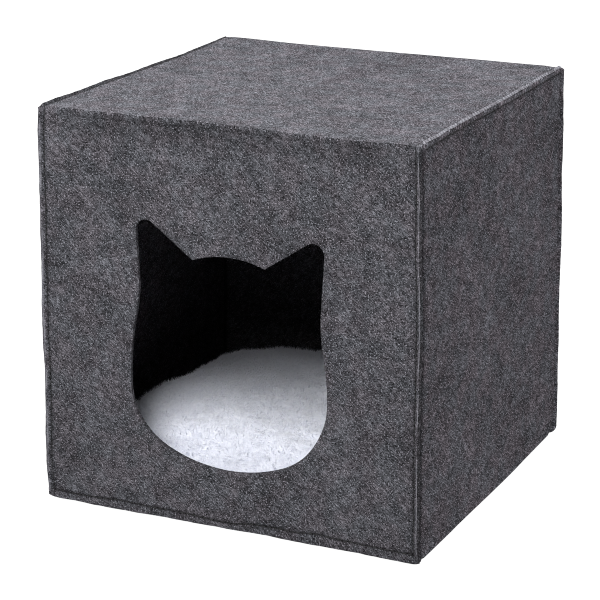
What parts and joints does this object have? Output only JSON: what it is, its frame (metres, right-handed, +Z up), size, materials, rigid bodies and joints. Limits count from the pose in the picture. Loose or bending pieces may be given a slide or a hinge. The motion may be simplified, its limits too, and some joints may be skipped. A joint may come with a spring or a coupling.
{
  "type": "felt cat cave",
  "caption": "Box-shaped pet cave sewn from thick grey felt, with an animal-head entrance cut in the front and a loose white plush cushion.",
  "frame": {"origin": "on the floor under the middle of the box", "axes": "+Z up, -Y out of the front with the entrance, +X to the right of the front"},
  "size_m": [0.3374, 0.3294, 0.3343],
  "materials": {
    "charcoal_felt": "thick needle felt, heathered charcoal grey with short pale fibres, raw cut edges",
    "white_plush": "short white plush pile"
  },
  "bodies": {
    "root": {"felt_wrap": "charcoal_felt", "felt_cradle": "charcoal_felt", "plush_cushion": "white_plush"}
  },
  "joints": []
}
